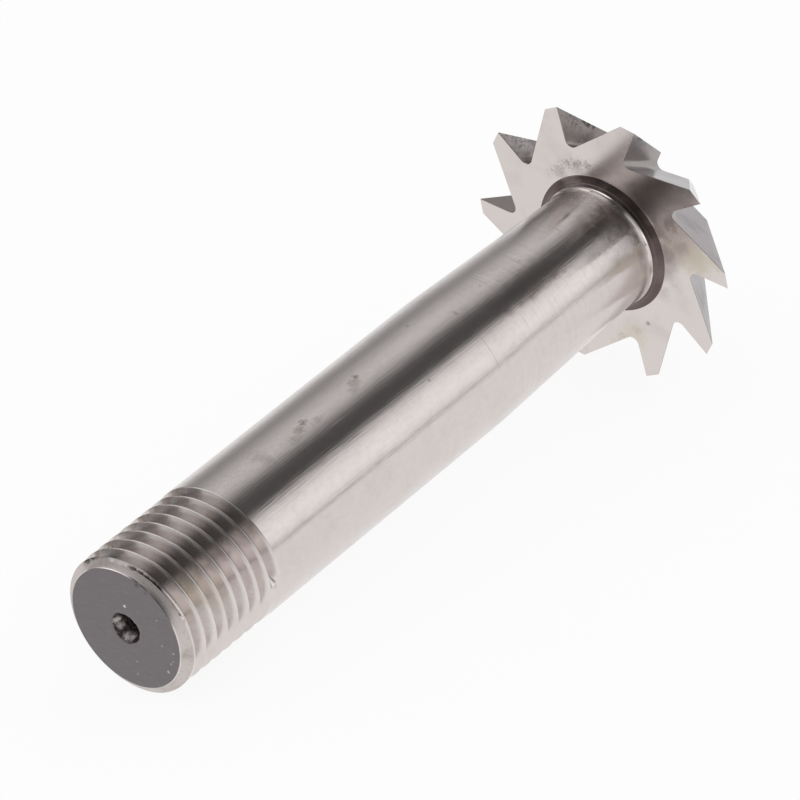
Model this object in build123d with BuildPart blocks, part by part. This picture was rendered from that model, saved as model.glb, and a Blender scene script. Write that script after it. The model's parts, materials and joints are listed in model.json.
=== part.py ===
from build123d import *
import os
from math import atan2, cos, degrees, radians, sin, tan

# An inverted dovetail milling cutter, turned and ground from one bar of tool steel.
# It is widest at the back of its head, next to the shank, and tapers to its nose.
# Millimetres and degrees. The cutter is first shaped about the Z axis, from the
# threaded end at Z = 0 to the nose, and then laid down as it rests on a table.

# Shank
overall_length = 67.0
shank_diameter = 12.0
thread_length = 11.0
thread_major_diameter = 11.9
thread_relief_length = 1.1
thread_relief_depth = 0.15
end_chamfer_length = 0.4
end_chamfer_depth = 0.68
neck_taper_length = 20.2
neck_diameter = 10.6
neck_fillet_radius = 0.95

# Head
head_diameter = 25.0
head_length = 6.3
flank_angle = 45.0

# Teeth and gullets
tooth_count = 10
land_width = 1.42
land_relief_angle = 9.0
rake_angle = 5.0
gullet_angle = 66.0
gullet_floor_slope = 34.0
gullet_root_radius = 0.6

# Centre holes
centre_mouth_diameter = 2.65
centre_pilot_diameter = 1.25
centre_cone_angle = 60.0
centre_pilot_depth = 1.3
drill_point_angle = 118.0

# How far a cutting shape reaches past the metal that it cuts
cut_overrun = 1.5

head_radius = head_diameter / 2
shank_radius = shank_diameter / 2
thread_radius = thread_major_diameter / 2
thread_relief_start = thread_length - thread_relief_length
thread_relief_radius = thread_radius - thread_relief_depth
neck_radius = neck_diameter / 2
back_face = overall_length - head_length
taper_start = back_face - neck_taper_length
nose_radius = head_radius - head_length * tan(radians(flank_angle))
tooth_pitch = 360 / tooth_count


# The hole of a centre drill, with its mouth on the XY plane and its bottom up
centre_cone_depth = (centre_mouth_diameter - centre_pilot_diameter) / 2 / tan(radians(centre_cone_angle / 2))
pilot_end = centre_cone_depth + centre_pilot_depth
pilot_point = pilot_end + centre_pilot_diameter / 2 / tan(radians(drill_point_angle / 2))

with BuildPart() as centre_hole:
    with BuildSketch(Plane.XZ):
        with BuildLine():
            Polyline(
                (0, 0),
                (centre_mouth_diameter / 2, 0),
                (centre_pilot_diameter / 2, centre_cone_depth),
                (centre_pilot_diameter / 2, pilot_end),
                (0, pilot_point),
                close=True,
            )
        make_face()
    revolve(axis=Axis.Z)


# The lead corner of a tooth is its cutting tip at the back face. In the plane of the
# back face the corner of one tooth lies on the X axis, and the gullet that it leads
# runs on to the next tooth, whose land ends one land width short of its own corner.
def land_point(corner_angle, distance):
    """The point of the sloping land that lies a distance behind the lead corner."""
    radial = head_radius - distance * sin(radians(land_relief_angle))
    tangential = -distance * cos(radians(land_relief_angle))
    return (Vector(radial, tangential)).rotate(Axis.Z, corner_angle)


def crossing(start, direction, other_start, other_direction):
    """The point where two lines of the XY plane cross."""
    across = Vector(-other_direction.Y, other_direction.X)
    return start + direction * ((other_start - start).dot(across) / direction.dot(across))


lead_corner = land_point(0, 0)
heel_corner = land_point(tooth_pitch, land_width)
rake_line = Vector(1, 0).rotate(Axis.Z, rake_angle)
heel_line = Vector(1, 0).rotate(Axis.Z, rake_angle + gullet_angle)
gullet_corner = crossing(lead_corner, rake_line, heel_corner, heel_line)

# One gullet: a rounded V that slants inwards as it runs to the nose
floor_drop = tan(radians(gullet_floor_slope))
floor_direction = Vector(-floor_drop, 0, 1)
floor_run = (head_length + 2 * cut_overrun) * floor_direction.length

with BuildPart() as gullet:
    with BuildSketch(Plane((cut_overrun * floor_drop, 0, back_face - cut_overrun))) as gullet_section:
        with BuildLine():
            Polyline(
                gullet_corner,
                lead_corner + rake_line * 2 * cut_overrun,
                heel_corner + heel_line * 2 * cut_overrun,
                close=True,
            )
        make_face()
        fillet(gullet_section.vertices().sort_by_distance(gullet_corner)[0], gullet_root_radius)
    extrude(amount=floor_run, dir=floor_direction)

# One land: the wheel that grinds it takes off what stands above the sloping land,
# and follows the flank from the back face to the nose
flank_taper = tan(radians(flank_angle))
flank_direction = Vector(-flank_taper, 0, 1)
flank_run = (head_length + 2 * cut_overrun) * flank_direction.length
outwards = Vector(2 * cut_overrun, 0)

with BuildPart() as land_relief:
    with BuildSketch(Plane((cut_overrun * flank_taper, 0, back_face - cut_overrun))):
        with BuildLine():
            Polyline(
                land_point(0, -cut_overrun),
                land_point(0, land_width + cut_overrun),
                land_point(0, land_width + cut_overrun) + outwards,
                land_point(0, -cut_overrun) + outwards,
                close=True,
            )
        make_face()
    extrude(amount=flank_run, dir=flank_direction)

# The cutter rests on the lead corner of one tooth and the heel corner of the next,
# so the pattern is turned until the chord between them lies square to the X axis
rest_chord = (heel_corner - lead_corner).normalized()
rest_angle = degrees(atan2(-rest_chord.X, rest_chord.Y))
rest_radius = lead_corner.dot(Vector(rest_chord.Y, -rest_chord.X))

# The cutter about the Z axis
with BuildPart() as turned_cutter:
    with BuildSketch(Plane.XZ) as half_section:
        with BuildLine():
            Polyline(
                (0, 0),
                (thread_radius - end_chamfer_depth, 0),
                (thread_radius, end_chamfer_length),
                (thread_radius, thread_relief_start),
                (thread_relief_radius, thread_relief_start),
                (thread_relief_radius, thread_length),
                (shank_radius, thread_length),
                (shank_radius, taper_start),
                (neck_radius, back_face),
                (head_radius, back_face),
                (nose_radius, overall_length),
                (0, overall_length),
                close=True,
            )
        make_face()
        fillet(half_section.vertices().sort_by_distance((neck_radius, back_face))[0], neck_fillet_radius)
    revolve(axis=Axis.Z)
    add(centre_hole.part, mode=Mode.SUBTRACT)
    with Locations(Plane((0, 0, overall_length), z_dir=(0, 0, -1))):
        add(centre_hole.part, mode=Mode.SUBTRACT)
    with PolarLocations(0, tooth_count, start_angle=-rest_angle):
        add(gullet.part, mode=Mode.SUBTRACT)
        add(land_relief.part, mode=Mode.SUBTRACT)

# Laid down, the cutter touches the table with those two corners and with the lower
# edge of its threaded end, so its axis rises towards the head along X
end_edges = ((thread_radius, end_chamfer_length), (shank_radius, thread_length))
lift = min(atan2(rest_radius - radius, back_face - height) for radius, height in end_edges)
resting = Plane((0, 0, 0), x_dir=(sin(lift), 0, -cos(lift)), z_dir=(cos(lift), 0, sin(lift)))
resting_box = (resting.location * turned_cutter.part).bounding_box()
table_centre = Vector(resting_box.center().X, resting_box.center().Y, resting_box.min.Z)

with BuildPart() as dovetail_cutter:
    with Locations(Location(-table_centre) * resting.location):
        add(turned_cutter.part)

dovetail_cutter.part.label = "dovetail_cutter"

os.makedirs("parts", exist_ok=True)
export_step(dovetail_cutter.part, "parts/dovetail_cutter.step")
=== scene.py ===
import json
import math

import bpy
from mathutils import Matrix, Vector
from mathutils.geometry import tessellate_polygon


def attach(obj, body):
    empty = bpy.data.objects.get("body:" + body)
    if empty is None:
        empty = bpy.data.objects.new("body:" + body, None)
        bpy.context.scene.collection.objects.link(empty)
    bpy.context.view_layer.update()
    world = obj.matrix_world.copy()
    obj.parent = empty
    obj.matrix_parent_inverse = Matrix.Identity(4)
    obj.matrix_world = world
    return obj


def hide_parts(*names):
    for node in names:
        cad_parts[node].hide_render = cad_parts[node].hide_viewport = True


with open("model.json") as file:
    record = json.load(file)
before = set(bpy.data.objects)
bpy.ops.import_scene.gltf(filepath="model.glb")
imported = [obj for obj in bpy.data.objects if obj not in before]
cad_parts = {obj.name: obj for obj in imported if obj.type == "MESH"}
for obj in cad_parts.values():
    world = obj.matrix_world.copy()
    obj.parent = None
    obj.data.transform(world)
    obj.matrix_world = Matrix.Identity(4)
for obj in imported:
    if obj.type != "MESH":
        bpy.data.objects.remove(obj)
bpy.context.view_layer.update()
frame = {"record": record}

# The dovetail cutter is one mesh, built about its own axis in millimetres and then laid
# where the record's mounts say. Z = 0 is its threaded end and Z = 67 is its nose.

# Shank and thread. RUN_IN, RUN_OUT, NICK_FROM, NICK_TO and LONG_CHAMFER are in the degrees that
# clockwise() gives, and NECK_START and SCALE_START in the degrees that the fillet has turned
SHANK_RADIUS = 6.0
THREAD_RADIUS = 5.95
THREAD_PITCH = 1.282
FLANK_TILT = 62.5
CREST_ROUNDING = 0.085
ROOT_ROUNDING = 0.20
FIRST_CREST = 0.465
CREST_PHASE = 198.904
LAST_CREST = 7
RUN_IN = (215, 330)
RUN_OUT = (480, 464)
THREAD_END = 11.6
NICK_DEPTH = 0.20
NICK_FROM = (388, 395)
NICK_TO = (444, 438)
RIM_RADIUS = 5.21
RIM_FACET = 0.10
END_CHAMFER_RADIUS = 5.27
END_CHAMFER_LENGTH = 0.5
LONG_CHAMFER = (540, 480)
CHAMFER_TO_CREST = 0.15
HIGHEST_START = 1.2
TAPER_START = 40.5
NECK_RADIUS = 5.344
NECK_FILLET = 1.35
NECK_RIM = 6.27
NECK_START = 16
SCALE_START = 30

# Head
HEAD_RADIUS = 12.5
HEAD_LENGTH = 6.3
BACK_FACE = 60.7
NOSE = 67.0
TOOTH_COUNT = 10
FIRST_LEAD = -15.988
LAND_WIDTH = 1.42
LAND_RELIEF = 9.0
RAKE = 5.0
GULLET = 66.0
FLOOR_SLOPE = 34.0
ROOT_RADIUS = 0.6
LEAD_ROUNDING = 0.03
HEEL_ROUNDING = 0.05
EDGE = 0.035

# Centre holes
MOUTH_RADIUS = 1.325
PILOT_RADIUS = 0.625
CONE_DEPTH = 1.2124
PILOT_END = 2.5124
PILOT_POINT = 2.888

# Fineness of the mesh: columns of points about the axis, levels of the head, and the angle
# in degrees from which an edge is sharp
SEGMENTS = 288
HEAD_LEVELS = 14
SHARP_ANGLE = 32

# Frame of the cutter, from the place and axis of its threaded end
mounts = {mount["name"]: mount for mount in frame["record"]["mounts"]}
rear = mounts["threaded_end"]
axis = -Vector(rear["axis"])
down = Vector((axis.z, 0, -axis.x))
side = Vector((0, 1, 0))
to_row = Matrix.Translation(rear["pos_m"]) @ Matrix((
    (down.x, side.x, axis.x),
    (down.y, side.y, axis.y),
    (down.z, side.z, axis.z),
)).to_4x4() @ Matrix.Scale(0.001, 4)

# Camera, where the photo was taken from
camera_data = bpy.data.cameras.new("camera")
camera = bpy.data.objects.new("camera", camera_data)
bpy.context.scene.collection.objects.link(camera)
bpy.context.scene.camera = camera
camera_right = Vector((0.61507153, -0.78780878, -0.03231635))
camera_up = Vector((0.40694951, 0.28208172, 0.86880493))
camera_back = camera_right.cross(camera_up)
camera.matrix_world = Matrix.Translation((-0.28427571, -0.23055059, 0.21787698)) @ Matrix((
    (camera_right.x, camera_up.x, camera_back.x),
    (camera_right.y, camera_up.y, camera_back.y),
    (camera_right.z, camera_up.z, camera_back.z),
)).to_4x4()
camera_data.sensor_width = 36
camera_data.lens = 241.494
camera_data.clip_start = 0.01
camera_data.clip_end = 20
bpy.context.scene.view_settings.view_transform = "Standard"

# Mesh of the cutter
points = []
faces = []
face_materials = []
flat_faces = set()
MATERIALS = (
    "centre_hole", "end_face", "rim", "end_chamfer", "thread", "ground_shank",
    "neck", "neck_scale", "back_face", "land", "rake", "gullet", "nose_face",
)


def add_point(x, y, z):
    points.append((x, y, z))
    return len(points) - 1


def add_polar(radius, angle, height):
    return add_point(radius * math.cos(angle), radius * math.sin(angle), height)


def angle_at(column):
    """The angle about the axis of a column of points, in radians."""
    return 2 * math.pi * column / SEGMENTS


def add_face(corners, material):
    faces.append(corners)
    face_materials.append(MATERIALS.index(material))


def ring(radius, height):
    """A circle of points about the axis. The radius is a number or a function of the angle."""
    made = []
    for i in range(SEGMENTS):
        angle = angle_at(i)
        made.append(add_polar(radius(angle) if callable(radius) else radius, angle, height))
    return made


def bridge(first, second, material):
    count = len(first)
    for i in range(count):
        j = (i + 1) % count
        add_face((first[i], first[j], second[j], second[i]), material)


def cone(tip, loop, material, closing=False):
    count = len(loop)
    for i in range(count):
        j = (i + 1) % count
        if closing:
            add_face((loop[i], loop[j], tip), material)
        else:
            add_face((tip, loop[j], loop[i]), material)


def smoothstep(low, high, value):
    """Rises from 0 to 1 as the value goes from low to high, or falls if high is the lower."""
    x = min(1, max(0, (value - low) / (high - low)))
    return x * x * (3 - 2 * x)


def rough_mouth(angle):
    """The worn, uneven rim of the rear centre hole."""
    return (
        0.030 * math.sin(3 * angle + 0.6)
        + 0.022 * math.sin(7 * angle + 2.1)
        + 0.014 * math.sin(13 * angle + 4.0)
        + 0.010 * math.sin(23 * angle + 1.1)
    )


def crest_height(turn, angle):
    """Height of a crest of the right-hand thread where it passes an angle, in radians."""
    return FIRST_CREST + THREAD_PITCH * (turn + (math.degrees(angle) + CREST_PHASE) / 360)


def groove_depth(from_crest):
    """Depth below the crests: a rounded crest, a straight flank and a rounded root."""
    tilt = math.radians(FLANK_TILT)
    crest_end = CREST_ROUNDING * math.sin(tilt)
    root_end = ROOT_ROUNDING * math.sin(tilt)
    flank_top = CREST_ROUNDING * (1 - math.cos(tilt))
    from_root = THREAD_PITCH / 2 - from_crest
    if from_crest < crest_end:
        return CREST_ROUNDING - math.sqrt(CREST_ROUNDING ** 2 - from_crest ** 2)
    if from_root > root_end:
        return flank_top + (from_crest - crest_end) * math.tan(tilt)
    flank_end = flank_top + (THREAD_PITCH / 2 - crest_end - root_end) * math.tan(tilt)
    root_rise = ROOT_ROUNDING * math.cos(tilt)
    return flank_end + math.sqrt(ROOT_ROUNDING ** 2 - from_root ** 2) - root_rise


def clockwise(angle):
    """The angle in degrees, counted from where the thread's first crest leaves the end."""
    return math.degrees(angle) + CREST_PHASE


def thread_radius(angle, height):
    """Radius of the thread, which fades in on the underside and runs out into the ground shank.

    Before its first crest there is a short nick along the edge of the chamfer.
    """
    around = clockwise(angle)
    turns = (height - crest_height(0, angle)) / THREAD_PITCH
    groove = math.floor(turns)
    after_crest = (turns - groove) * THREAD_PITCH
    from_crest = min(after_crest, THREAD_PITCH - after_crest)
    if groove <= -2:
        nick = smoothstep(*NICK_FROM, around) * smoothstep(*NICK_TO, around)
        nick *= smoothstep(0.04, 0.09, from_crest) * smoothstep(0.22, 0.15, from_crest)
        return THREAD_RADIUS - NICK_DEPTH * nick
    if groove >= LAST_CREST:
        return SHANK_RADIUS
    depth = groove_depth(from_crest)
    if groove == -1:
        depth *= smoothstep(*RUN_IN, around)
    if groove == LAST_CREST - 1:
        depth *= smoothstep(*RUN_OUT, around)
        top = THREAD_RADIUS + (SHANK_RADIUS - THREAD_RADIUS) * smoothstep(0.5, 1.0, turns - groove)
        return top - depth
    return THREAD_RADIUS - depth


def chamfer_length(angle):
    """The chamfer is longer where it runs on up to the thread's first crest."""
    to_crest = crest_height(-1, angle) - CHAMFER_TO_CREST
    longer = max(0, to_crest - END_CHAMFER_LENGTH) * smoothstep(*LONG_CHAMFER, clockwise(angle))
    return END_CHAMFER_LENGTH + longer


def chamfer_radius(angle, height):
    slope = (THREAD_RADIUS - END_CHAMFER_RADIUS) / (chamfer_length(angle) - RIM_FACET)
    return END_CHAMFER_RADIUS + slope * (height - RIM_FACET)


def thread_start(angle):
    """Height at which the end chamfer meets the thread."""
    low, high = RIM_FACET, HIGHEST_START
    for _ in range(40):
        middle = (low + high) / 2
        if chamfer_radius(angle, middle) < thread_radius(angle, middle):
            low = middle
        else:
            high = middle
    return low


# Rear centre hole, end face and end chamfer
tip = add_point(0, 0, PILOT_POINT)
bottom = ring(PILOT_RADIUS * 0.98, PILOT_END)
cone(tip, bottom, "centre_hole")
previous = bottom
for radius, height in (
    (PILOT_RADIUS, PILOT_END - 0.05),
    (PILOT_RADIUS, CONE_DEPTH + 0.5),
    (PILOT_RADIUS + 0.01, CONE_DEPTH + 0.03),
    (PILOT_RADIUS + 0.05, CONE_DEPTH - 0.06),
    (0.80, 0.91),
    (0.98, 0.60),
    (1.14, 0.33),
):
    following = ring(radius, height)
    bridge(previous, following, "centre_hole")
    previous = following
for share, radius, height in (
    (0.5, 1.24, 0.15),
    (1.0, MOUTH_RADIUS - 0.02, 0.03),
    (1.0, MOUTH_RADIUS + 0.03, 0.0),
):
    following = ring(lambda angle: radius + share * rough_mouth(angle), height)
    bridge(previous, following, "centre_hole")
    previous = following
for radius in (1.7, 2.6, 3.8, RIM_RADIUS):
    following = ring(radius, 0.0)
    bridge(previous, following, "end_face")
    previous = following
following = ring(END_CHAMFER_RADIUS, RIM_FACET)
bridge(previous, following, "rim")
previous = following
starts = [thread_start(angle_at(i)) for i in range(SEGMENTS)]
for share in (0.5, 1.0):
    following = []
    for i, start in enumerate(starts):
        angle = angle_at(i)
        height = RIM_FACET + (start - RIM_FACET) * share
        following.append(add_polar(chamfer_radius(angle, height), angle, height))
    bridge(previous, following, "end_chamfer")
    previous = following

# Thread: rows of points follow the helix at these heights above each crest, and each column of
# them ends at the chamfer and at the ground shank. Rows are numbered on from the first turn, and
# SHANK_ROW comes after them all
ROW_OFFSETS = (
    0, 0.02, 0.04, 0.06, 0.078, 0.22, 0.36, 0.46, 0.51, 0.56, 0.60,
    0.641, 0.682, 0.722, 0.772, 0.822, 0.922, 1.062, 1.204, 1.222, 1.242, 1.262,
)
FIRST_TURN = -2
TURNS = 12
SHANK_ROW = 10 ** 6
CHAMFER_GAP = 0.015
SHANK_GAP = 0.03
lower_rim = previous
upper_rim = ring(SHANK_RADIUS, THREAD_END)
columns = []
for i, start in enumerate(starts):
    angle = angle_at(i)
    column = [(-1, lower_rim[i])]
    for row in range(TURNS * len(ROW_OFFSETS)):
        turn, step = divmod(row, len(ROW_OFFSETS))
        height = crest_height(turn + FIRST_TURN, angle) + ROW_OFFSETS[step]
        if start + CHAMFER_GAP < height < THREAD_END - SHANK_GAP:
            column.append((row, add_polar(thread_radius(angle, height), angle, height)))
    column.append((SHANK_ROW, upper_rim[i]))
    columns.append(column)


def thread_material(row, angle):
    turn = row // len(ROW_OFFSETS) + FIRST_TURN
    ground = turn >= LAST_CREST or (turn == LAST_CREST - 1 and clockwise(angle) > RUN_OUT[0])
    return "ground_shank" if ground else "thread"


for i in range(SEGMENTS):
    left = columns[i]
    right = columns[(i + 1) % SEGMENTS]
    shift = len(ROW_OFFSETS) if i == SEGMENTS - 1 else 0
    a = b = 0
    while a < len(left) - 1 or b < len(right) - 1:
        material = thread_material(left[a][0], angle_at(i))
        next_left = left[a + 1][0] if a < len(left) - 1 else 2 * SHANK_ROW
        next_right = right[b + 1][0] if b < len(right) - 1 else 2 * SHANK_ROW
        if next_right < SHANK_ROW:
            next_right -= shift
        if next_left == next_right:
            add_face((left[a][1], right[b][1], right[b + 1][1], left[a + 1][1]), material)
            a += 1
            b += 1
        elif next_left < next_right:
            add_face((left[a][1], right[b][1], left[a + 1][1]), material)
            a += 1
        else:
            add_face((left[a][1], right[b][1], right[b + 1][1]), material)
            b += 1
previous = upper_rim

# Ground shank, with its taper next to the head
fillet_centre = NECK_RADIUS + NECK_FILLET
fillet_turn = math.acos((fillet_centre - NECK_RIM) / NECK_FILLET)
fillet_start = BACK_FACE - NECK_FILLET * math.sin(fillet_turn)
for height in (14, 20, 26, 32, 38, 40.2, 41, 44, 48, 52, 56, 58, 59, fillet_start):
    tapered = max(0, height - TAPER_START) / (fillet_start - TAPER_START)
    following = ring(SHANK_RADIUS - (SHANK_RADIUS - NECK_RADIUS) * tapered, height)
    bridge(previous, following, "ground_shank")
    previous = following


def fillet_material(turn):
    """The fillet is ground, then bright, then dark with scale, by how far it has turned."""
    if turn > SCALE_START:
        return "neck_scale"
    return "neck" if turn > NECK_START else "ground_shank"


# Fillet between the shank and the head
for turn in (
    4, 8, 12, NECK_START, 20, 23, 26, SCALE_START,
    34, 38, 43, 48, 53, 58, 63, 67, math.degrees(fillet_turn),
):
    sweep = math.radians(turn)
    radius = fillet_centre - NECK_FILLET * math.cos(sweep)
    following = ring(radius, fillet_start + NECK_FILLET * math.sin(sweep))
    bridge(previous, following, fillet_material(turn))
    previous = following
neck_rim = ring(NECK_RIM + 0.02, BACK_FACE)
bridge(previous, neck_rim, "back_face")


# Toothed head: outlines stacked from the back face to the nose
def turned(vector, turn):
    """A vector turned by an angle in degrees."""
    return Matrix.Rotation(math.radians(turn), 2) @ vector


def crossing(start, direction, other_start, other_direction):
    """The point where two straight lines cross."""
    across = Vector((-other_direction.y, other_direction.x))
    return start + direction * ((other_start - start).dot(across) / direction.dot(across))


def rounded(before, corner, after, radius, steps):
    """Points of an arc that rounds the corner between two straight sides."""
    to_before = (before - corner).normalized()
    to_after = (after - corner).normalized()
    half = to_before.angle(to_after) / 2
    reach = radius / math.tan(half)
    centre = corner + (to_before + to_after).normalized() * (radius / math.sin(half))
    first = corner + to_before * reach - centre
    last = corner + to_after * reach - centre
    sweep = math.atan2(first.x * last.y - first.y * last.x, first.dot(last))
    return [centre + turned(first, math.degrees(sweep * step / steps)) for step in range(steps + 1)]


land_direction = turned(Vector((0, -1)), -LAND_RELIEF)
rake_direction = turned(Vector((1, 0)), RAKE)
heel_direction = turned(Vector((1, 0)), RAKE + GULLET)
lead_back = Vector((HEAD_RADIUS, 0))
heel_back = turned(lead_back + land_direction * LAND_WIDTH, 360 / TOOTH_COUNT)


def tooth_outline(height, inset):
    """The outline from one lead corner to the next, and the material of each of its parts.

    The height is above the back face, and the inset is that of a rounded edge.
    """
    floor_shift = Vector((-math.tan(math.radians(FLOOR_SLOPE)) * height, 0))
    land_shift = Vector((-height, 0))
    pitch = 360 / TOOTH_COUNT
    land_inset = Vector((-inset, 0))
    rake_start = lead_back + floor_shift + turned(rake_direction, -90) * inset
    heel_start = heel_back + floor_shift + turned(heel_direction, 90) * inset
    land_start = lead_back + land_shift + land_inset
    next_land = turned(land_start, pitch)
    next_land_direction = turned(land_direction, pitch)
    lead = crossing(land_start, land_direction, rake_start, rake_direction)
    root = crossing(rake_start, rake_direction, heel_start, heel_direction)
    heel = crossing(heel_start, heel_direction, next_land, next_land_direction)
    next_lead = turned(lead, pitch)
    last_heel = turned(heel, -pitch)
    outline = rounded(last_heel, lead, root, LEAD_ROUNDING, 2)
    regions = ["rake"] * 3
    start = outline[-1]
    bottom = rounded(lead, root, heel, ROOT_RADIUS + inset, 8)
    for step in range(1, 5):
        outline.append(start.lerp(bottom[0], step / 5))
        regions.append("rake")
    outline += bottom
    regions += ["rake"] * 4 + ["gullet"] * (len(bottom) - 4)
    corner = rounded(root, heel, next_lead, HEEL_ROUNDING, 2)
    for step in range(1, 5):
        outline.append(bottom[-1].lerp(corner[0], step / 5))
        regions.append("gullet")
    outline += corner
    regions += ["gullet", "gullet", "land"]
    next_tip = rounded(heel, next_lead, turned(root, pitch), LEAD_ROUNDING, 2)
    for step in range(1, 4):
        outline.append(corner[-1].lerp(next_tip[0], step / 4))
        regions.append("land")
    return outline, regions


def head_loop(height, inset=0.0):
    outline, regions = tooth_outline(height, inset)
    loop = []
    for tooth in range(TOOTH_COUNT):
        for point in outline:
            place = turned(point, FIRST_LEAD + 360 / TOOTH_COUNT * tooth)
            loop.append(add_point(place.x, place.y, BACK_FACE + height))
    return loop, regions * TOOTH_COUNT


def bridge_regions(first, second, regions):
    count = len(first)
    for i in range(count):
        j = (i + 1) % count
        add_face((first[i], first[j], second[j], second[i]), regions[i])


def cap(outer, inner, material, facing):
    """Fills the flat ring between an outline and a circle, facing up the axis (1) or down (-1)."""
    corners = [[Vector(points[i]) for i in outer], [Vector(points[i]) for i in inner]]
    order = list(outer) + list(inner)
    for a, b, c in tessellate_polygon(corners):
        p, q, r = (Vector(points[order[k]]) for k in (a, b, c))
        normal = (q - p).cross(r - p)
        if normal.z * facing < 0:
            a, b = b, a
        add_face((order[a], order[b], order[c]), material)
        flat_faces.add(len(faces) - 1)


back_loop, _ = head_loop(0.0, EDGE)
cap(back_loop, neck_rim, "back_face", -1)
previous = back_loop
for level in range(HEAD_LEVELS + 1):
    following, regions = head_loop(EDGE + (HEAD_LENGTH - 2 * EDGE) * level / HEAD_LEVELS)
    bridge_regions(previous, following, regions)
    previous = following
nose_loop, regions = head_loop(HEAD_LENGTH, EDGE)
bridge_regions(previous, nose_loop, regions)

# Nose centre hole
nose_mouth = ring(MOUTH_RADIUS + 0.03, NOSE)
cap(nose_loop, nose_mouth, "nose_face", 1)
previous = nose_mouth
for radius, depth in (
    (MOUTH_RADIUS - 0.02, 0.03),
    (PILOT_RADIUS + 0.05, CONE_DEPTH - 0.06),
    (PILOT_RADIUS, CONE_DEPTH + 0.04),
    (PILOT_RADIUS, PILOT_END - 0.03),
    (PILOT_RADIUS * 0.98, PILOT_END),
):
    following = ring(radius, NOSE - depth)
    bridge(previous, following, "centre_hole")
    previous = following
cone(add_point(0, 0, NOSE - PILOT_POINT), previous, "centre_hole", closing=True)

mesh = bpy.data.meshes.new("cutter_body")
mesh.from_pydata(points, [], faces)
mesh.update()
coordinates = mesh.attributes.new("cutter", "FLOAT_VECTOR", "POINT")
coordinates.data.foreach_set("vector", [value for point in points for value in point])
mesh.transform(to_row)
mesh.polygons.foreach_set("material_index", face_materials)
mesh.polygons.foreach_set("use_smooth", [i not in flat_faces for i in range(len(faces))])
mesh.set_sharp_from_angle(angle=math.radians(SHARP_ANGLE))
mesh.validate()
cutter = bpy.data.objects.new("cutter_body", mesh)
bpy.context.scene.collection.objects.link(cutter)


# Materials
class Nodes:
    """A short way to write a material's or the world's nodes."""

    def __init__(self, owner):
        owner.use_nodes = True
        self.tree = owner.node_tree
        self.tree.nodes.clear()

    def add(self, kind, inputs=None, **settings):
        node = self.tree.nodes.new(kind)
        for key, value in settings.items():
            setattr(node, key, value)
        for key, value in (inputs or {}).items():
            self.put(value, node.inputs[key])
        return node

    def put(self, value, socket):
        if isinstance(value, bpy.types.NodeSocket):
            self.tree.links.new(value, socket)
        else:
            socket.default_value = value

    def math(self, operation, a, b=0.0, clamp=False):
        node = self.add("ShaderNodeMath", {0: a, 1: b}, operation=operation, use_clamp=clamp)
        return node.outputs[0]

    def vector(self, operation, a, b=(0, 0, 0)):
        node = self.add("ShaderNodeVectorMath", {0: a, 1: b}, operation=operation)
        return node.outputs["Value" if operation in ("DOT_PRODUCT", "LENGTH") else "Vector"]

    def noise(self, vector, scale, detail, roughness, output=0):
        node = self.add(
            "ShaderNodeTexNoise",
            {"Vector": vector, "Scale": scale, "Detail": detail, "Roughness": roughness},
        )
        return node.outputs[output]

    def stretch(self, vector, scale):
        return self.vector("MULTIPLY", vector, scale)

    def band(self, value, low, high, start=0.0, end=1.0):
        """A smooth step from start to end as the value goes from low to high."""
        node = self.add(
            "ShaderNodeMapRange",
            {"Value": value, "From Min": low, "From Max": high, "To Min": start, "To Max": end},
            interpolation_type="SMOOTHSTEP",
        )
        return node.outputs["Result"]

    def mix(self, share, a, b):
        node = self.add("ShaderNodeMix", data_type="RGBA")
        self.put(share, node.inputs[0])
        self.put(a, node.inputs[6])
        self.put(b, node.inputs[7])
        return node.outputs[2]


# How far a mark's edge wanders, by its kind: the scale of the wander, its spread and its detail
WANDER = {"soft": (0.9, 1.6, 2.0), "ragged": (3.0, 2.0, 4.0), "grainy": (3.0, 2.0, 4.0)}
# How fine the specks of a grainy mark are
SPECK_SCALE = 7.5
# How far the patterns change the roughness, how much rougher a full mark is, and the height of
# the relief in metres
ROUGHNESS_SPREAD = 0.05
MARK_ROUGHNESS = 0.2
BUMP_DISTANCE = 0.0001


def surface_point(radius, turn, height):
    """A point of the surface, at a turn in degrees clockwise from where the thread starts."""
    angle = math.radians(turn - CREST_PHASE)
    return radius * math.cos(angle), radius * math.sin(angle), height


def mark_and_light_share(n, place, kind, places):
    """How strongly a mark, painted shade or painted highlight covers a place: 0 where there is
    none, its own strength in its middle.
    """
    scale, spread, detail = WANDER[kind]
    wander = n.noise(place, scale, detail, 0.65, "Color")
    wander = n.vector("MULTIPLY", n.vector("SUBTRACT", wander, (0.5, 0.5, 0.5)), (spread,) * 3)
    total = 0.0
    for radius, turn, height, width, length, strength in places:
        away = n.vector("SUBTRACT", place, surface_point(radius, turn, height))
        away = n.vector("MULTIPLY", away, (2 / width, 2 / width, 2 / length))
        away = n.vector("ADD", away, wander)
        total = n.math("MAXIMUM", total, n.band(n.vector("LENGTH", away), 0.1, 1.1, strength, 0.0))
    if kind == "grainy":
        specks = n.noise(place, SPECK_SCALE, 2.0, 0.6)
        total = n.math("MULTIPLY", total, n.band(specks, 0.46, 0.60))
    return total


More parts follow.
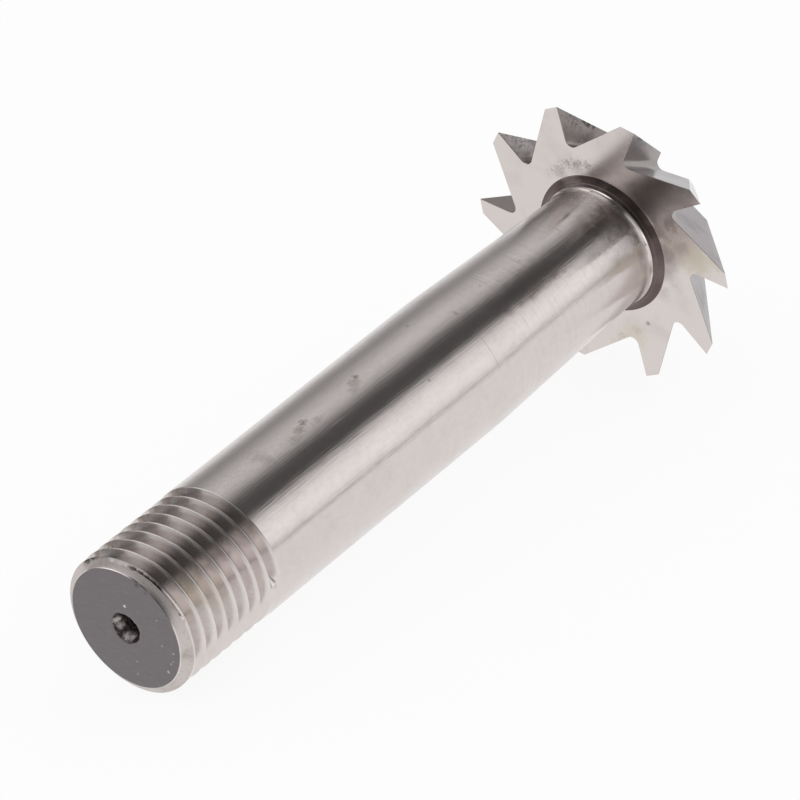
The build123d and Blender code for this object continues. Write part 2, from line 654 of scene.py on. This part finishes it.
def steel(
    name, base, dark, roughness, lines=(3, 3, 3), line_strength=0.0, grain=0.0, stain=0.25, lay=0.0,
    marks=(), streaks=0.0, waves=0.0, step_highlight=None, pits=(14.0, 0.68, 0.35), line_contrast=0.0,
    scuffs=0.0, turned_marks=None,
):
    """Steel with machining lines that are stretched along the cutter's X, Y and Z.

    With a lay, the lines run around the cutter and spread reflections only across themselves.
    Streaks are fine lines along the cutter and waves are slight hollows in its surface.
    Marks are groups of a colour, a kind and places, and some are painted shade or painted
    highlights. Pits are a scale, a threshold and a strength.
    Scuffs are a fine mottle, and turned marks are rings from a height on, with their strength.
    A step highlight is a painted highlight along a fine turned step: a height, half its width and
    its colour.
    """
    material = bpy.data.materials.new(name)
    n = Nodes(material)
    place = n.add("ShaderNodeAttribute", attribute_name="cutter").outputs["Vector"]
    from_end = n.add("ShaderNodeSeparateXYZ", {0: place}).outputs["Z"]
    blotch = n.noise(n.stretch(place, (0.35, 0.35, 0.25)), 1.0, 4.0, 0.6)
    fine_lines = n.noise(n.stretch(place, lines), 1.0, 3.0, 0.65)
    speckle = n.noise(place, pits[0], 2.0, 0.5)
    dirt = n.math("MULTIPLY", n.band(blotch, 0.45, 0.75), stain, clamp=True)
    dirt = n.math("ADD", dirt, n.band(speckle, pits[1], pits[1] + 0.1, 0.0, pits[2]))
    if line_contrast:
        dirt = n.math("ADD", dirt, n.band(fine_lines, 0.45, 0.85, 0.0, line_contrast))
    if turned_marks:
        beginning, strength = turned_marks
        rings = n.noise(n.stretch(place, (0.12, 0.12, 5.0)), 1.0, 2.0, 0.6)
        rings = n.band(rings, 0.45, 0.70, 0.0, strength)
        rings = n.math("MULTIPLY", rings, n.band(from_end, beginning - 1.5, beginning + 1.5))
        dirt = n.math("ADD", dirt, rings)
    rough = roughness
    for pattern in (blotch, fine_lines):
        change = n.math("MULTIPLY", n.math("SUBTRACT", pattern, 0.5), ROUGHNESS_SPREAD)
        rough = n.math("ADD", rough, change)
    if scuffs:
        scuffed = n.band(n.noise(n.stretch(place, (2.2, 2.2, 1.5)), 1.0, 4.0, 0.7), 0.40, 0.68)
        dirt = n.math("ADD", dirt, n.math("MULTIPLY", scuffed, scuffs))
        rough = n.math("ADD", rough, n.math("MULTIPLY", scuffed, scuffs))
    colour = n.mix(n.math("ADD", dirt, 0.0, clamp=True), base + (1,), dark + (1,))
    # Marks of use, painted shade and painted highlights are laid over the steel's colour
    for mark_and_light_colour, kind, places in marks:
        mark = mark_and_light_share(n, place, kind, places)
        colour = n.mix(mark, colour, mark_and_light_colour + (1,))
        rough = n.math("ADD", rough, n.math("MULTIPLY", mark, MARK_ROUGHNESS))
    rough = n.math("ADD", rough, 0.0, clamp=True)
    # Painted highlight along a fine turned step
    if step_highlight:
        middle, half_width, step_highlight_colour = step_highlight
        off = n.math("ABSOLUTE", n.math("SUBTRACT", from_end, middle))
        off = n.band(off, half_width / 3, half_width, 1.0, 0.0)
        colour = n.mix(off, colour, step_highlight_colour + (1,))
    height = n.math("MULTIPLY", fine_lines, line_strength)
    height = n.math("ADD", height, n.math("MULTIPLY", speckle, grain))
    if streaks:
        streak = n.noise(n.stretch(place, (8, 8, 0.3)), 1.0, 2.0, 0.6)
        height = n.math("ADD", height, n.math("MULTIPLY", streak, streaks))
    if waves:
        wave = n.noise(n.stretch(place, (0.25, 0.25, 0.12)), 1.0, 2.0, 0.5)
        height = n.math("ADD", height, n.math("MULTIPLY", wave, waves))
    bump = n.add("ShaderNodeBump", {"Height": height, "Strength": 1.0, "Distance": BUMP_DISTANCE})
    shader = n.add(
        "ShaderNodeBsdfPrincipled",
        {"Base Color": colour, "Metallic": 1.0, "Roughness": rough, "Normal": bump.outputs[0]},
    )
    if lay:
        in_row = n.add("ShaderNodeTexCoord").outputs["Object"]
        from_axis = n.vector("SUBTRACT", in_row, rear["pos_m"])
        shader.inputs["Anisotropic"].default_value = lay
        shader.inputs["Anisotropic Rotation"].default_value = 0.25
        n.put(n.vector("CROSS_PRODUCT", tuple(axis), from_axis), shader.inputs["Tangent"])
    output = n.add("ShaderNodeOutputMaterial")
    n.put(shader.outputs[0], output.inputs["Surface"])
    return material


# Marks of use, painted shade and painted highlights, as groups of a colour, a kind and places.
# A place is a radius, a turn, a height, the mark's width and length, and its strength
BASE = (0.665, 0.611, 0.591)
DARK = (0.25, 0.21, 0.19)
BROWN = (0.20, 0.15, 0.125)
BLACK = (0.05, 0.04, 0.037)
CREAM = (0.64, 0.58, 0.485)
BRIGHT = (0.85, 0.83, 0.82)
SHANK_MARKS_AND_PAINTED_LIGHT = (
    (BROWN, "ragged", (
        (6.0, 22.5, 28.4, 0.9, 0.8, 0.75),
        (6.0, 25.5, 27.8, 1.2, 1.4, 0.40),
        (6.0, 29.5, 27.2, 1.0, 1.6, 0.22),
        (6.0, 25.0, 21.5, 0.8, 1.3, 0.70),
        (6.0, 28.0, 20.7, 1.2, 1.6, 0.45),
        (6.0, 32.0, 19.6, 1.2, 2.0, 0.25),
        (6.0, 31.0, 22.5, 1.0, 1.8, 0.22),
        (6.0, 14.0, 36.1, 0.5, 0.4, 0.35),
    )),
    # Painted shade: darker patches near the head, where the head is reflected, and along the
    # reflected dark band; the lowest one, at height 16, is a stain
    (BROWN, "soft", (
        (6.0, 26.5, 16.2, 2.6, 1.6, 0.25),
        (5.5, 2.0, 56.5, 1.8, 6.0, 0.50),
        (5.4, 0.0, 58.4, 5.0, 4.4, 0.55),
        (5.45, 49.5, 57.4, 2.2, 6.0, 0.62),
        (5.36, 50.0, 59.2, 2.4, 1.8, 0.60),
        (5.45, 42.0, 58.4, 2.2, 3.4, 0.60),
        (5.90, 48.0, 47.0, 2.6, 14.0, 0.25),
        (5.80, 59.5, 47.5, 1.1, 14.0, 0.50),
        (5.45, 92.0, 59.0, 3.2, 0.8, 0.25),
    )),
    # Painted highlights: lighter patches near the head and down the upper shank
    (BRIGHT, "soft", (
        (5.45, 30.0, 57.4, 2.6, 3.2, 0.40),
        (6.0, 26.0, 34.0, 1.6, 12.0, 0.12),
    )),
    # Painted highlights on the taper next to the fillet
    ((0.90, 0.83, 0.81), "soft", (
        (5.5, 70.0, 56.6, 2.4, 7.0, 0.60),
        (5.4, 77.0, 58.0, 2.6, 4.0, 0.80),
        (5.38, 24.0, 58.9, 3.2, 2.4, 0.55),
    )),
    ((0.44, 0.395, 0.375), "grainy", (
        (6.0, 20.0, 15.0, 4.4, 16.0, 0.24),
        (6.0, 24.0, 28.0, 4.0, 18.0, 0.16),
        (5.9, 22.0, 43.0, 4.0, 16.0, 0.12),
        (6.0, 62.0, 18.0, 2.4, 16.0, 0.12),
    )),
    (DARK, "ragged", (
        (5.9, 27.7, 43.7, 0.35, 0.35, 0.28),
        (5.83, 34.3, 45.2, 0.3, 0.3, 0.28),
        (5.72, 31.2, 48.5, 0.3, 0.4, 0.28),
        (6.0, 33.3, 39.65, 0.9, 0.25, 0.50),
        (6.0, 61.5, 32.7, 0.4, 0.4, 0.55),
        (6.0, 59.5, 23.0, 0.12, 3.0, 0.55),
        (6.0, 58.0, 13.0, 0.12, 2.4, 0.40),
        (5.7, 59.5, 48.2, 0.12, 2.2, 0.55),
        (5.7, 62.0, 52.0, 0.14, 3.6, 0.30),
        (5.87, 24.0, 44.3, 2.6, 0.14, 0.30),
        (5.75, 29.0, 48.2, 2.6, 0.14, 0.30),
        (5.70, 20.0, 50.4, 2.2, 0.14, 0.30),
        (5.58, 27.0, 53.9, 2.2, 0.14, 0.35),
        (5.87, 74.0, 44.2, 2.2, 0.12, 0.22),
        (5.82, 68.0, 45.6, 2.2, 0.12, 0.18),
        (6.0, 64.0, 39.46, 2.2, 0.15, 0.22),
        (6.0, 73.0, 39.46, 2.6, 0.15, 0.32),
        (6.0, 83.0, 39.46, 2.2, 0.15, 0.25),
    )),
    # Scratches and turned ring lines: real marks, painted brighter than the steel as glints
    (BRIGHT, "ragged", (
        (6.0, 42.5, 23.3, 0.2, 2.4, 0.30),
        (6.0, 50.0, 22.4, 0.5, 0.6, 0.20),
        (5.75, 55.3, 48.6, 0.25, 0.4, 0.60),
        (6.0, 33.0, 40.1, 1.8, 0.16, 0.35),
        (5.9, 41.0, 40.6, 0.5, 0.15, 0.35),
        (5.85, 21.0, 44.9, 2.6, 0.16, 0.45),
        (5.85, 33.0, 45.0, 2.2, 0.16, 0.40),
        (5.80, 28.0, 46.6, 1.8, 0.12, 0.30),
        (5.73, 22.0, 48.7, 2.2, 0.14, 0.35),
        (5.70, 31.0, 49.9, 2.2, 0.14, 0.40),
        (5.60, 20.0, 53.3, 2.4, 0.14, 0.40),
        (5.52, 26.0, 55.4, 2.0, 0.12, 0.35),
    )),
)
# Painted shade where the shank's fillet starts next to the head
NECK_PAINTED_SHADE = (
    (BROWN, "soft", ((5.5, -4.0, 59.8, 2.4, 2.0, 0.6), (5.5, 112.0, 59.8, 1.6, 2.0, 0.5))),
)
# Painted shade on the scale, darkest from 18 to 78 degrees and lighter at -8 and 116 degrees
SCALE_PAINTED_SHADE = (
    (BLACK, "soft", (
        (5.9, 58.0, 60.4, 3.4, 3.0, 0.85),
        (5.9, 36.0, 60.4, 3.4, 3.0, 0.85),
        (5.9, 18.0, 60.4, 3.4, 3.0, 0.85),
        (5.9, 78.0, 60.4, 2.4, 3.0, 0.55),
    )),
    ((0.30, 0.255, 0.245), "soft", (
        (5.9, -8.0, 60.4, 3.0, 3.0, 0.70),
        (5.9, 116.0, 60.4, 3.4, 3.0, 0.25),
    )),
)
THREAD_MARKS_AND_PAINTED_LIGHT = (
    (BLACK, "ragged", (
        (5.75, -16.0, 0.60, 1.6, 0.5, 1.0),
        (5.80, -10.0, 0.62, 1.8, 0.45, 1.0),
        (5.85, -3.0, 0.66, 1.8, 0.35, 1.0),
        (5.85, 32.0, 0.50, 0.8, 0.25, 0.9),
        (5.85, 38.0, 0.52, 0.8, 0.25, 0.9),
        (5.85, 44.0, 0.54, 0.8, 0.25, 0.9),
        (5.85, 50.0, 0.56, 0.8, 0.25, 0.9),
        (5.85, 56.0, 0.58, 0.8, 0.25, 0.9),
    )),
    # Painted highlights: lighter flanks at 22 and 104 degrees
    ((0.80, 0.765, 0.755), "soft", (
        (5.6, 22.0, 3.0, 2.2, 5.0, 0.28),
        (5.6, 22.0, 6.5, 2.2, 5.0, 0.28),
        (5.6, 22.0, 10.0, 2.2, 4.0, 0.28),
        (5.6, 104.0, 3.0, 4.6, 5.0, 0.65),
        (5.6, 104.0, 6.5, 4.6, 5.0, 0.65),
        (5.6, 104.0, 10.0, 4.6, 4.0, 0.50),
    )),
    # Painted shade: darker flanks along the thread at 63 degrees, next to the reflected dark band
    (DARK, "soft", (
        (5.6, 63.0, 3.0, 2.6, 5.0, 0.38),
        (5.6, 63.0, 6.5, 2.6, 5.0, 0.38),
        (5.6, 63.0, 10.0, 2.6, 4.0, 0.38),
    )),
    (CREAM, "soft", ((5.5, 76.0, 3.0, 4.2, 3.6, 0.55), (5.5, 88.0, 4.6, 3.4, 2.4, 0.45))),
    # Painted shade: darker flanks on the upper side of the thread at 3 and -14 degrees
    (BROWN, "soft", (
        (5.6, 3.0, 3.0, 2.0, 5.0, 0.46),
        (5.6, 3.0, 6.5, 2.0, 5.0, 0.48),
        (5.6, 2.0, 10.0, 2.4, 4.0, 0.40),
        (5.6, -14.0, 3.0, 3.0, 5.0, 0.80),
        (5.6, -14.0, 6.5, 3.0, 5.0, 0.78),
        (5.6, -14.0, 10.0, 3.0, 4.0, 0.74),
    )),
)
CHAMFER_MARKS_AND_GLINTS = (
    (BLACK, "ragged", (
        (5.72, -17.0, 0.46, 1.4, 0.5, 1.0),
        (5.78, -11.0, 0.50, 1.5, 0.45, 1.0),
        (5.83, -4.0, 0.54, 1.5, 0.35, 1.0),
        (5.85, 3.0, 0.56, 1.4, 0.28, 0.9),
        (5.80, 30.0, 0.44, 0.9, 0.22, 0.8),
    )),
    # Bright burrs along the chamfer's edge: real burrs, painted brighter than the steel as glints
    (BRIGHT, "ragged", (
        (5.76, 11.0, 0.46, 0.8, 0.3, 0.9),
        (5.72, 18.0, 0.44, 1.2, 0.4, 0.6),
        (5.78, 24.0, 0.48, 0.8, 0.3, 0.8),
    )),
)
HOLE_MARKS = (
    ((0.92, 0.86, 0.84), "ragged", (
        (1.15, -60.0, 0.35, 1.0, 0.9, 0.9),
        (1.05, -95.0, 0.45, 0.9, 0.9, 0.8),
        (1.10, 215.0, 0.35, 0.9, 0.9, 0.9),
        (1.00, 190.0, 0.50, 0.8, 0.8, 0.6),
    )),
)
END_MARKS = (
    (BRIGHT, "ragged", (
        (2.15, 24.0, 0.0, 0.30, 1.0, 1.0),
        (4.60, 144.0, 0.0, 0.34, 1.0, 0.55),
        (4.50, 132.0, 0.0, 0.26, 1.0, 0.40),
        (4.62, 127.0, 0.0, 0.20, 1.0, 0.30),
        (3.50, 114.0, 0.0, 0.22, 1.0, 0.45),
        (4.55, 117.0, 0.0, 0.26, 1.0, 0.40),
        (2.90, 186.0, 0.0, 0.22, 1.0, 0.30),
        (4.15, 192.0, 0.0, 0.24, 1.0, 0.35),
        (3.85, 78.0, 0.0, 0.20, 1.0, 0.35),
    )),
    (BLACK, "ragged", ((5.0, 40.0, 0.0, 0.7, 1.0, 0.5), (4.95, 50.0, 0.0, 0.5, 1.0, 0.3))),
)
RIM_MARKS = (
    (BLACK, "ragged", ((5.24, 37.0, 0.05, 1.2, 1.0, 0.9), (5.24, 45.0, 0.05, 1.2, 1.0, 0.8))),
)
BACK_MARKS_AND_PAINTED_SHADE = (
    ((0.33, 0.28, 0.26), "grainy", (
        (7.15, -24.0, 60.7, 1.2, 1.0, 0.40),
        (7.2, -18.5, 60.7, 1.3, 1.0, 0.55),
        (7.2, -13.0, 60.7, 1.4, 1.0, 0.65),
        (7.25, -8.0, 60.7, 1.5, 1.0, 0.75),
        (7.3, -3.0, 60.7, 1.5, 1.0, 0.80),
        (7.3, 2.0, 60.7, 1.5, 1.0, 0.80),
        (7.35, 7.0, 60.7, 1.5, 1.0, 0.75),
        (7.3, 12.0, 60.7, 1.3, 1.0, 0.65),
        (7.2, 18.0, 60.7, 1.1, 1.0, 0.50),
        (7.1, 25.0, 60.7, 1.0, 1.0, 0.40),
        (7.2, 112.0, 60.7, 1.0, 1.0, 0.4),
        (7.3, 124.0, 60.7, 1.0, 1.0, 0.4),
        (8.2, 178.0, 60.7, 1.2, 1.0, 0.7),
        (8.9, 190.0, 60.7, 1.6, 1.0, 0.7),
    )),
    (BROWN, "soft", (
        (7.2, -14.0, 60.7, 1.0, 1.0, 0.20),
        (7.3, -5.0, 60.7, 1.1, 1.0, 0.28),
        (7.3, 4.0, 60.7, 1.1, 1.0, 0.28),
        (7.3, 12.0, 60.7, 1.0, 1.0, 0.22),
    )),
    (CREAM, "soft", (
        (9.6, 101.0, 60.7, 4.4, 4.0, 0.85),
        (11.4, 100.0, 60.7, 3.0, 4.0, 0.75),
        (7.6, 96.0, 60.7, 2.4, 4.0, 0.45),
        (8.4, 182.0, 60.7, 4.0, 4.0, 0.65),
        (9.6, 192.0, 60.7, 3.0, 4.0, 0.65),
    )),
    (BROWN, "ragged", ((7.70, 167.0, 60.7, 0.6, 1.0, 0.75), (12.0, 54.0, 61.5, 0.8, 2.0, 0.4))),
    # Painted shade: darker patches next to the neck ring and where the back face reflects the shank
    (DARK, "soft", (
        (6.6, -14.0, 60.7, 1.8, 1.0, 0.40),
        (6.8, 2.0, 60.7, 2.4, 1.0, 0.25),
        (7.4, 62.0, 60.7, 3.0, 2.0, 0.20),
        (8.2, 94.0, 60.7, 2.6, 2.0, 0.35),
        (6.6, 84.0, 60.7, 2.4, 2.0, 0.55),
        (6.6, 101.0, 60.7, 2.2, 2.0, 0.45),
        (6.6, 118.0, 60.7, 2.0, 2.0, 0.22),
        (6.6, 136.0, 60.7, 2.0, 2.0, 0.22),
        (8.3, 80.0, 60.7, 2.8, 2.0, 0.65),
        (9.8, 82.0, 60.7, 2.6, 2.0, 0.40),
        (11.2, 77.0, 60.7, 2.6, 2.0, 0.45),
    )),
)
RAKE_MARKS = (
    ((0.72, 0.67, 0.655), "soft", ((11.0, -33.0, 62.0, 4.8, 4.0, 0.85),)),
    (BLACK, "ragged", (
        (10.9, 1.0, 62.4, 0.5, 0.5, 0.6),
        (10.4, 0.0, 62.9, 0.9, 0.7, 0.9),
        (10.0, 2.0, 63.3, 1.1, 0.8, 1.0),
        (9.5, 2.0, 63.7, 1.1, 0.9, 1.0),
        (9.0, 1.0, 64.2, 0.9, 0.8, 0.9),
        (8.6, 1.0, 64.6, 0.4, 0.4, 0.6),
        (11.5, 39.0, 61.7, 0.5, 0.5, 0.7),
        (11.2, 38.8, 62.1, 0.7, 0.6, 0.9),
        (10.8, 38.5, 62.5, 0.5, 0.6, 0.8),
        (11.3, 38.9, 62.7, 0.6, 0.4, 0.8),
        (10.5, 38.2, 63.2, 0.5, 0.5, 0.7),
    )),
    (BLACK, "grainy", (
        (11.0, 5.0, 62.4, 3.2, 3.2, 0.9),
        (11.2, 39.0, 62.2, 3.2, 2.6, 1.0),
        (10.2, 38.0, 63.4, 2.6, 2.6, 0.9),
        (11.2, -33.0, 62.0, 3.2, 2.6, 0.6),
    )),
)

# Stretch of the machining lines that run around the cutter
AROUND = (0.5, 0.5, 22.0)
FINISHES = {
    "centre_hole": dict(
        base=(0.13, 0.11, 0.105), dark=BLACK, roughness=0.45, line_strength=0.5, grain=0.3,
        stain=0.9, marks=HOLE_MARKS, pits=(3.0, 0.45, 0.8),
    ),
    "end_face": dict(
        base=(0.175, 0.160, 0.165), dark=(0.34, 0.32, 0.33), roughness=0.38, lines=(11, 0.9, 1),
        line_strength=0.05, grain=0.05, stain=0.0, marks=END_MARKS, pits=(9.0, 0.66, 0.35),
        line_contrast=0.35,
    ),
    "rim": dict(
        base=BASE, dark=BROWN, roughness=0.16, lines=AROUND, line_strength=0.02, stain=0.1,
        marks=RIM_MARKS,
    ),
    "end_chamfer": dict(
        base=(0.58, 0.53, 0.51), dark=DARK, roughness=0.38, lines=AROUND, line_strength=0.02,
        grain=0.01, stain=0.5, lay=0.5, marks=CHAMFER_MARKS_AND_GLINTS, pits=(5.0, 0.60, 0.4),
    ),
    "thread": dict(
        base=BASE, dark=BROWN, roughness=0.15, lines=AROUND, line_strength=0.01, grain=0.01,
        stain=0.10, lay=0.8, marks=THREAD_MARKS_AND_PAINTED_LIGHT, streaks=0.03,
    ),
    "ground_shank": dict(
        base=BASE, dark=BROWN, roughness=0.16, lines=AROUND, line_strength=0.002, grain=0.005,
        stain=0.06, lay=1.0, marks=SHANK_MARKS_AND_PAINTED_LIGHT, streaks=0.07, waves=0.38, pits=(5.0, 0.74, 0.20),
        line_contrast=0.08, scuffs=0.03, turned_marks=(40.0, 0.045),
    ),
    "neck": dict(
        base=BASE, dark=BROWN, roughness=0.11, lines=AROUND, stain=0.06, lay=0.5, marks=NECK_PAINTED_SHADE,
    ),
    "neck_scale": dict(
        base=(0.125, 0.090, 0.086), dark=(0.035, 0.026, 0.025), roughness=0.30, lines=AROUND,
        line_strength=0.05, grain=0.03, marks=SCALE_PAINTED_SHADE,
        step_highlight=(60.34, 0.05, (0.155, 0.125, 0.12)),
    ),
    "back_face": dict(
        base=BASE, dark=DARK, roughness=0.20, grain=0.004, stain=0.14, marks=BACK_MARKS_AND_PAINTED_SHADE,
    ),
    "land": dict(base=(0.62, 0.60, 0.60), dark=DARK, roughness=0.22, stain=0.2),
    "rake": dict(
        base=(0.29, 0.258, 0.248), dark=(0.09, 0.075, 0.07), roughness=0.30, lines=(2, 2, 2),
        line_strength=0.1, grain=0.1, stain=0.7, marks=RAKE_MARKS, pits=(3.2, 0.66, 0.7),
    ),
    "gullet": dict(
        base=(0.300, 0.270, 0.276), dark=(0.17, 0.15, 0.16), roughness=0.26, lines=(2, 2, 2),
        line_strength=0.05, grain=0.02, stain=0.9,
    ),
    "nose_face": dict(base=BASE, dark=DARK, roughness=0.24, line_strength=0.01, grain=0.01),
}
for name in MATERIALS:
    mesh.materials.append(steel(name, **FINISHES[name]))

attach(cutter, "root")
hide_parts("dovetail_cutter")

# Floor: a pale sheet that looks white to the camera but keeps the shadow. In reflections it
# darkens behind the cutter and beyond the threaded end, most where the two meet
FLOOR_REACH = 4.0
floor_mesh = bpy.data.meshes.new("floor")
corners = [(x * FLOOR_REACH, y * FLOOR_REACH, 0) for x, y in ((-1, -1), (1, -1), (1, 1), (-1, 1))]
floor_mesh.from_pydata(corners, [], [(0, 1, 2, 3)])
floor = bpy.data.objects.new("floor", floor_mesh)
bpy.context.scene.collection.objects.link(floor)
floor_material = bpy.data.materials.new("floor_paper")
n = Nodes(floor_material)
path = n.add("ShaderNodeLightPath")
seen = n.math("MAXIMUM", path.outputs["Is Camera Ray"], path.outputs["Is Glossy Ray"])
at = n.add("ShaderNodeSeparateXYZ", {0: n.add("ShaderNodeTexCoord").outputs["Object"]}).outputs
past_cutter = n.band(at["Y"], 0.02, 0.25, 1.0, 0.75)
past_end = n.band(at["X"], -0.05, -0.15, 1.0, 0.60)
past_both = n.math("MULTIPLY", n.band(at["Y"], 0.02, 0.12), n.band(at["X"], -0.04, -0.12))
reflected = n.math("MULTIPLY", past_cutter, past_end)
past_both = n.math("SUBTRACT", 1.0, n.math("MULTIPLY", past_both, 0.5))
reflected = n.math("MULTIPLY", reflected, past_both)
level = n.mix(path.outputs["Is Glossy Ray"], (1, 1, 1, 1), reflected)
glow = n.add("ShaderNodeEmission", {"Color": level, "Strength": 1.0})
paper = n.add("ShaderNodeBsdfDiffuse", {"Color": (0.9, 0.9, 0.9, 1)})
covering = n.mix(path.outputs["Is Glossy Ray"], (0.90, 0.90, 0.90, 1), (1.0, 1.0, 1.0, 1))
mixed = n.add("ShaderNodeMixShader", {0: n.math("MULTIPLY", seen, covering)})
n.put(paper.outputs[0], mixed.inputs[1])
n.put(glow.outputs[0], mixed.inputs[2])
output = n.add("ShaderNodeOutputMaterial")
n.put(mixed.outputs[0], output.inputs["Surface"])
floor_mesh.materials.append(floor_material)

# World: a long light tent over the cutter, seen only in reflections. Its brightness goes by the
# angle about the cutter's axis, and differs ahead of the cutter, over it and behind it. A stop is
# an angle and the brightness there
TENT_AHEAD = (
    (-120, 1.05), (-107, 0.98), (-96, 0.70), (-88, 0.50), (-79, 0.34), (-70, 0.285), (-59, 0.46),
    (-46, 0.63), (-34, 0.76), (-26, 0.74), (-18, 0.62), (-10, 0.41), (-3, 0.19), (4, 0.09),
    (14, 0.085), (26, 0.09), (30, 0.14), (34, 0.42), (38, 0.64), (46, 0.93), (54, 1.08),
    (70, 1.20), (80, 1.10), (87, 0.98), (88.6, 0.50), (90.2, 0.50), (92, 1.0), (120, 1.0),
)
TENT_OVER = (
    (-120, 0.90), (-90, 0.60), (-75, 0.70), (-58, 1.40), (-50, 1.90), (-8, 1.90), (0, 0.60),
    (4, 0.10), (28, 0.08), (36, 0.18), (46, 0.28), (58, 0.38), (66, 0.75), (74, 1.50),
    (84, 1.50), (94, 1.20), (120, 1.0),
)
TENT_BEHIND = (
    (-123, 1.13), (-112, 0.90), (-104, 0.70), (-97, 0.32), (-88, 0.25), (-82, 0.30), (-76, 0.50),
    (-70, 0.74), (-52, 0.66), (-45, 0.74), (-30, 0.70), (-11, 0.56), (3, 0.45), (8, 0.32),
    (21, 0.22), (25, 0.15), (46, 0.08), (65, 0.15), (72, 0.19), (80, 0.23), (90, 0.33),
    (98, 0.43), (113, 0.62), (138, 0.73), (169, 0.93),
)
# Dark spots in the tent: angle about the axis, angle from the axis behind the cutter, brightness,
# and how far from its middle a spot starts to fade and ends
SPOTS = (
    (-54.2, 11.1, 0.045, 5.5, 14.0),
    (-79.5, 44.0, 0.13, 4.0, 10.0),
)
world = bpy.data.worlds.new("tent")
bpy.context.scene.world = world
n = Nodes(world)
direction = n.add("ShaderNodeTexCoord").outputs["Generated"]
across = n.vector("DOT_PRODUCT", direction, tuple(-side))
above = n.vector("DOT_PRODUCT", direction, tuple(-down))
along = n.vector("DOT_PRODUCT", direction, tuple(axis))
about = n.math("MULTIPLY", n.math("ARCTAN2", across, above), 180 / math.pi)


def tent(stops, angle):
    """The brightness of one part of the tent at an angle about the cutter's axis, in degrees."""
    share = n.math("DIVIDE", n.math("ADD", angle, 180), 360)
    node = n.add("ShaderNodeValToRGB", {"Fac": share})
    ramp = node.color_ramp.elements
    ramp.remove(ramp[1])
    ramp[0].position, ramp[0].color = 0.0, (0.9, 0.9, 0.9, 1)
    for turn, value in stops:
        stop = ramp.new((turn + 180) / 360)
        stop.color = (value, value, value * 1.01, 1)
    return node.outputs["Color"]


drift = n.band(along, 0.58, 0.66, -1.0, 3.0)
ahead = n.vector("SCALE", tent(TENT_AHEAD, n.math("SUBTRACT", about, drift)))
n.put(n.band(along, 0.10, 0.50, 0.7, 1.0), ahead.node.inputs["Scale"])
behind = n.vector("SCALE", tent(TENT_BEHIND, about))
n.put(n.band(along, -0.95, -0.75, 0.7, 1.0), behind.node.inputs["Scale"])
shine = n.mix(n.band(along, -0.18, -0.03), tent(TENT_OVER, about), ahead)
shine = n.mix(n.band(along, -0.45, -0.25), behind, shine)
for turn, away, brightness, full, gone in SPOTS:
    turn, away = math.radians(turn), math.radians(away)
    spot = -axis * math.cos(away) - (down * math.cos(turn) + side * math.sin(turn)) * math.sin(away)
    near_spot = n.vector("DOT_PRODUCT", direction, tuple(spot))
    inside = n.band(near_spot, math.cos(math.radians(gone)), math.cos(math.radians(full)))
    shine = n.mix(inside, shine, (brightness, brightness, brightness, 1))
path = n.add("ShaderNodeLightPath")
seen = n.mix(path.outputs["Is Glossy Ray"], (0.95, 0.95, 0.95, 1), shine)
seen = n.mix(path.outputs["Is Camera Ray"], seen, (1, 1, 1, 1))
background = n.add("ShaderNodeBackground", {"Color": seen, "Strength": 1.0})
output = n.add("ShaderNodeOutputWorld")
n.put(background.outputs[0], output.inputs["Surface"])
